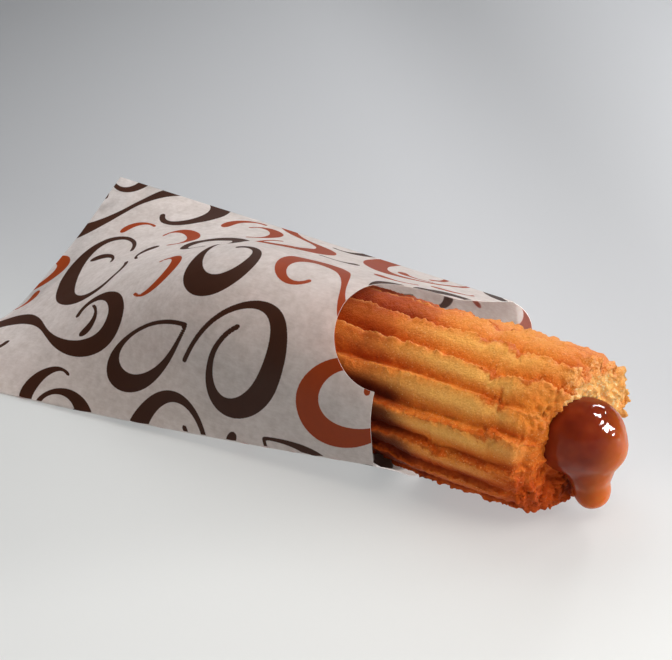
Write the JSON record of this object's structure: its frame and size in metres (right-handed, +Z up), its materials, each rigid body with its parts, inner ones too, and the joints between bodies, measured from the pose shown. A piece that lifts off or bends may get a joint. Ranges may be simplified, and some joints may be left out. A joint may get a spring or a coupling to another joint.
{
  "type": "filled churro in a paper bag",
  "caption": "Thick ridged churro lying in a flat printed paper bag with a thumb notch; a glossy drop of caramel-coloured filling runs out of its open end.",
  "frame": {"origin": "middle of the underside of the whole, on the surface the bag lies on", "axes": "+X along the churro, from the closed end of the bag towards the open end with the filling; +Y towards the bag's far crease; +Z up"},
  "size_m": [0.1756, 0.083, 0.04],
  "materials": {
    "crust": "matte",
    "filling": "gloss",
    "paper": "matte"
  },
  "bodies": {
    "root": {"dough": "crust", "filling": "filling", "paper_bag": "paper"}
  },
  "joints": []
}
